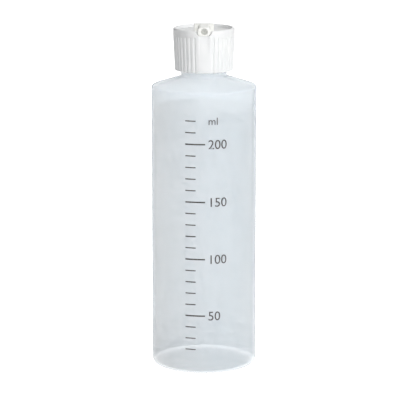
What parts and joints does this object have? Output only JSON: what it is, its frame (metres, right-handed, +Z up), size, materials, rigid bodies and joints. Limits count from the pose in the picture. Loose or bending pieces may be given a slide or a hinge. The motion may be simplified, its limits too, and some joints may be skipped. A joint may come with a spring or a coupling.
{
  "type": "camping fuel bottle",
  "caption": "Translucent cylinder fuel bottle with a ribbed screw cap, a sealing liner and a pouring spout that flips from its channel to upright.",
  "frame": {"origin": "centre of the base, on the plane that the standing ring rests on", "axes": "+Z up along the bottle's axis, -Y towards the folded spout's tip, +X to the right seen from the tip's side"},
  "size_m": [0.05, 0.05, 0.1664],
  "materials": {
    "bottle": "natural polyethylene, satin and translucent",
    "liner": "foamed polyethylene, matt",
    "cap": "white polypropylene, soft sheen",
    "spout": "natural polypropylene, satin"
  },
  "bodies": {
    "bottle": {"bottle": "bottle"},
    "liner": {"liner": "liner"},
    "cap": {"cap_body": "cap"},
    "spout": {"spout": "spout"}
  },
  "joints": [
    {"name": "cap_lift", "type": "slide", "parent": "bottle", "child": "liner", "axis": [0, 0, 1], "range_m": [0, 0.0048]},
    {"name": "cap_turn", "type": "hinge", "parent": "liner", "child": "cap", "pos_m": [0, 0, 0.15], "axis": [0, 0, 1], "range_deg": [0, 540]},
    {"name": "spout_flip", "type": "hinge", "parent": "cap", "child": "spout", "pos_m": [0, 0, 0.16188], "axis": [-1, 0, 0], "range_deg": [0, 90]}
  ],
  "couplings": [
    {"joint": "cap_lift", "follows": "cap_turn", "m_per_rad": 0.00050532}
  ]
}
